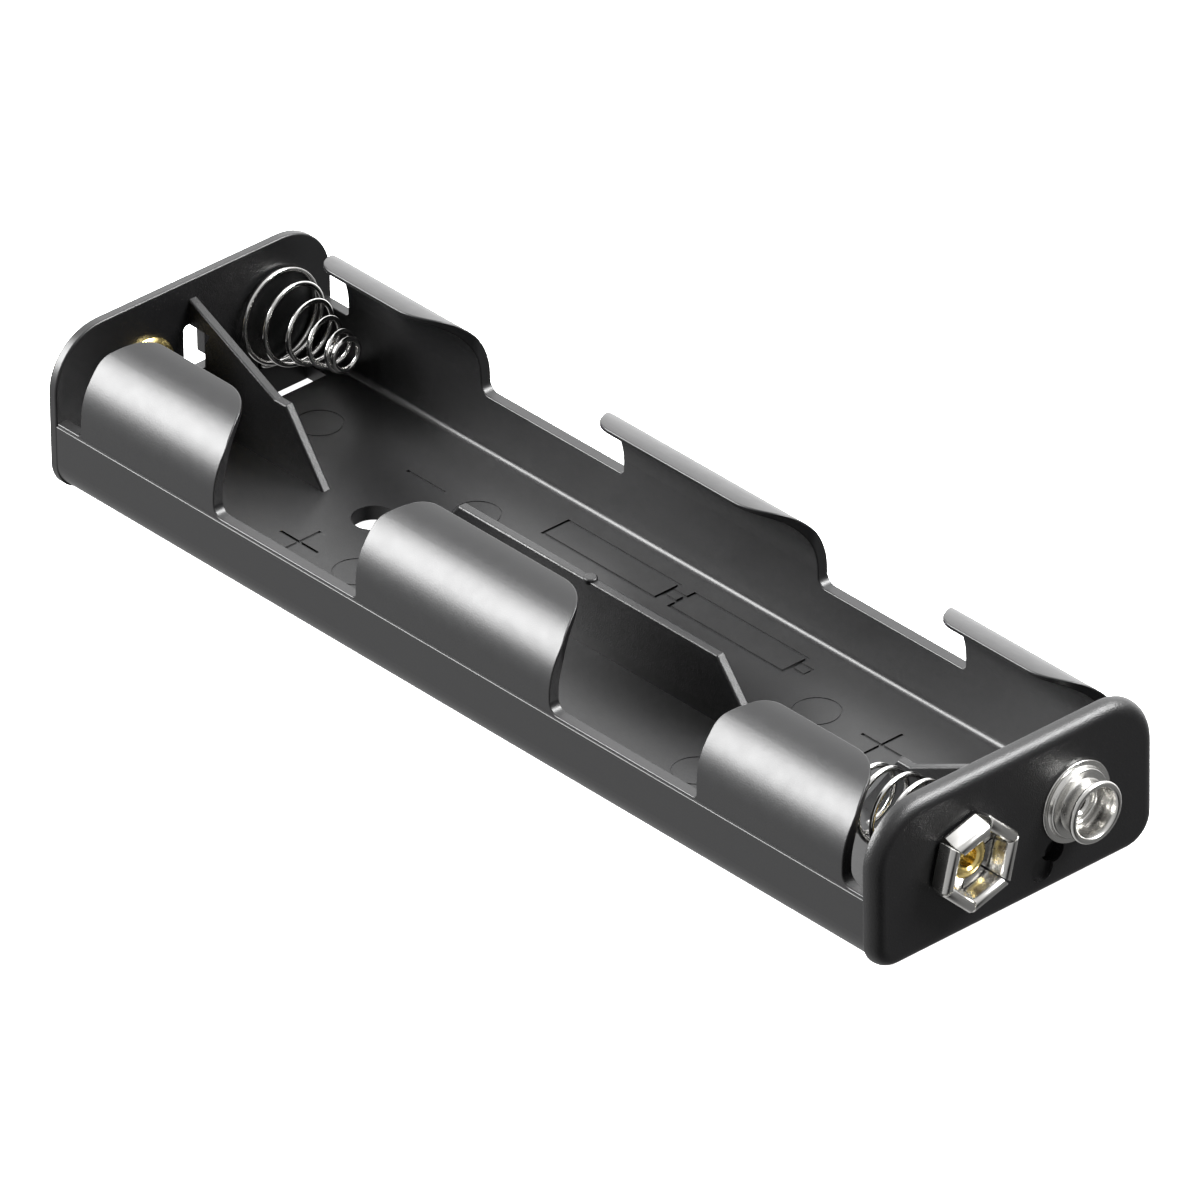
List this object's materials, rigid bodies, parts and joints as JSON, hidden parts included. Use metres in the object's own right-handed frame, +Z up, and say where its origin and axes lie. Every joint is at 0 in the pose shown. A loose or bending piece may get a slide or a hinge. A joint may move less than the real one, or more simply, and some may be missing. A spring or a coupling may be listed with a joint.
{
  "type": "battery holder",
  "caption": "Open moulded holder for two rows of cylindrical cells, with curled side flaps, coil spring contacts and a hexagonal and a round snap terminal on one end.",
  "frame": {"origin": "centre of the whole part's footprint, on the surface that it rests on", "axes": "+X along the rows towards the snap terminals, +Y towards the row whose cells point at the round stud, +Z up out of the open side"},
  "size_m": [0.1115, 0.0326, 0.016],
  "materials": {
    "black_plastic": "semi-gloss moulded, black",
    "nickel": "nickel plated sheet",
    "spring_wire": "nickel plated drawn wire",
    "brass": "bright pressed brass",
    "solder": "soldered, satin"
  },
  "bodies": {
    "holder": {"tray": "black_plastic", "hex_socket": "nickel", "round_stud": "nickel", "hex_rivet": "brass", "stud_rivet": "nickel", "contact_rivet": "brass", "link_strip": "nickel", "solder_joint": "solder"},
    "left_spring": {"left_spring": "spring_wire"},
    "right_spring": {"right_spring": "spring_wire"}
  },
  "joints": [
    {"name": "left_spring_press", "type": "slide", "parent": "holder", "child": "left_spring", "axis": [-1, 0, 0], "range_m": [0, 0.006], "stiffness_N_per_m": 800, "deforming": ["left_spring"]},
    {"name": "right_spring_press", "type": "slide", "parent": "holder", "child": "right_spring", "axis": [1, 0, 0], "range_m": [0, 0.007], "stiffness_N_per_m": 800, "deforming": ["right_spring"]}
  ]
}
